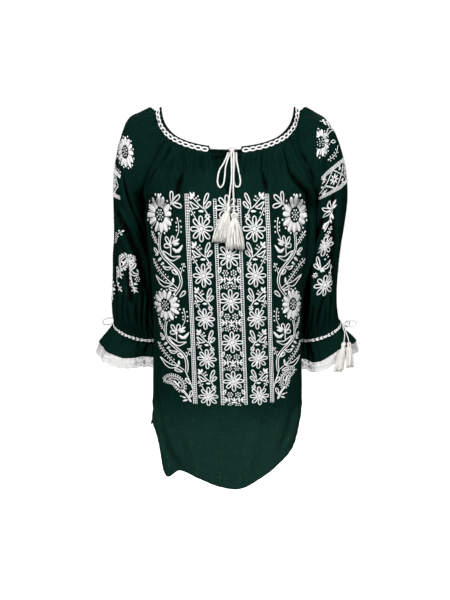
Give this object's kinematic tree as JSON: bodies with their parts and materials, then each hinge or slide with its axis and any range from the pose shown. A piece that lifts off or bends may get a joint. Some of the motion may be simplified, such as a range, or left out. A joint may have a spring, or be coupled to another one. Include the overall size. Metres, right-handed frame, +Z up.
{
  "type": "embroidered folk blouse",
  "caption": "Long-sleeved folk blouse gathered into a round neck band, with a tied front slit, frilled lace cuffs, a curved hem and floral embroidery.",
  "frame": {"origin": "where the wearer's shoulders carry the blouse: midway between them, 20 mm below the points that the neck band's top would have at the shoulders", "axes": "+Z up the wearer's body, -Y the way the front faces, +X towards the wearer's left sleeve"},
  "size_m": [0.5359, 0.297, 0.7086],
  "materials": {
    "cloth": "dark bottle-green crinkled cotton and viscose, soft and slightly lustrous",
    "band": "the same cloth folded double, dense and flat",
    "lace": "white cotton net lace with a scalloped edge",
    "thread": "white mercerised cotton thread, as embroidery, twisted cord and tassels"
  },
  "bodies": {
    "root": {"front": "cloth", "back": "cloth", "sleeve_right": "cloth", "flounce_right": "cloth", "sleeve_left": "cloth", "flounce_left": "cloth", "neck_band": "band", "wrist_band_right": "band", "wrist_band_left": "band", "lace_right": "lace", "lace_left": "lace", "neck_cord_crossing": "thread", "neck_knot": "thread", "neck_loop_right": "thread", "neck_loop_left": "thread", "neck_tail_right": "thread", "neck_tail_left": "thread", "neck_tassel_right": "thread", "neck_tassel_left": "thread", "wrist_left_knot": "thread", "wrist_left_loop_front": "thread", "wrist_left_loop_back": "thread", "wrist_left_tail_front": "thread", "wrist_left_tail_back": "thread", "wrist_left_tassel_front": "thread", "wrist_left_tassel_back": "thread", "wrist_right_knot": "thread", "wrist_right_loop_front": "thread", "wrist_right_loop_back": "thread", "wrist_right_tail_front": "thread", "wrist_right_tail_back": "thread", "wrist_right_tassel_front": "thread", "wrist_right_tassel_back": "thread"}
  },
  "joints": []
}
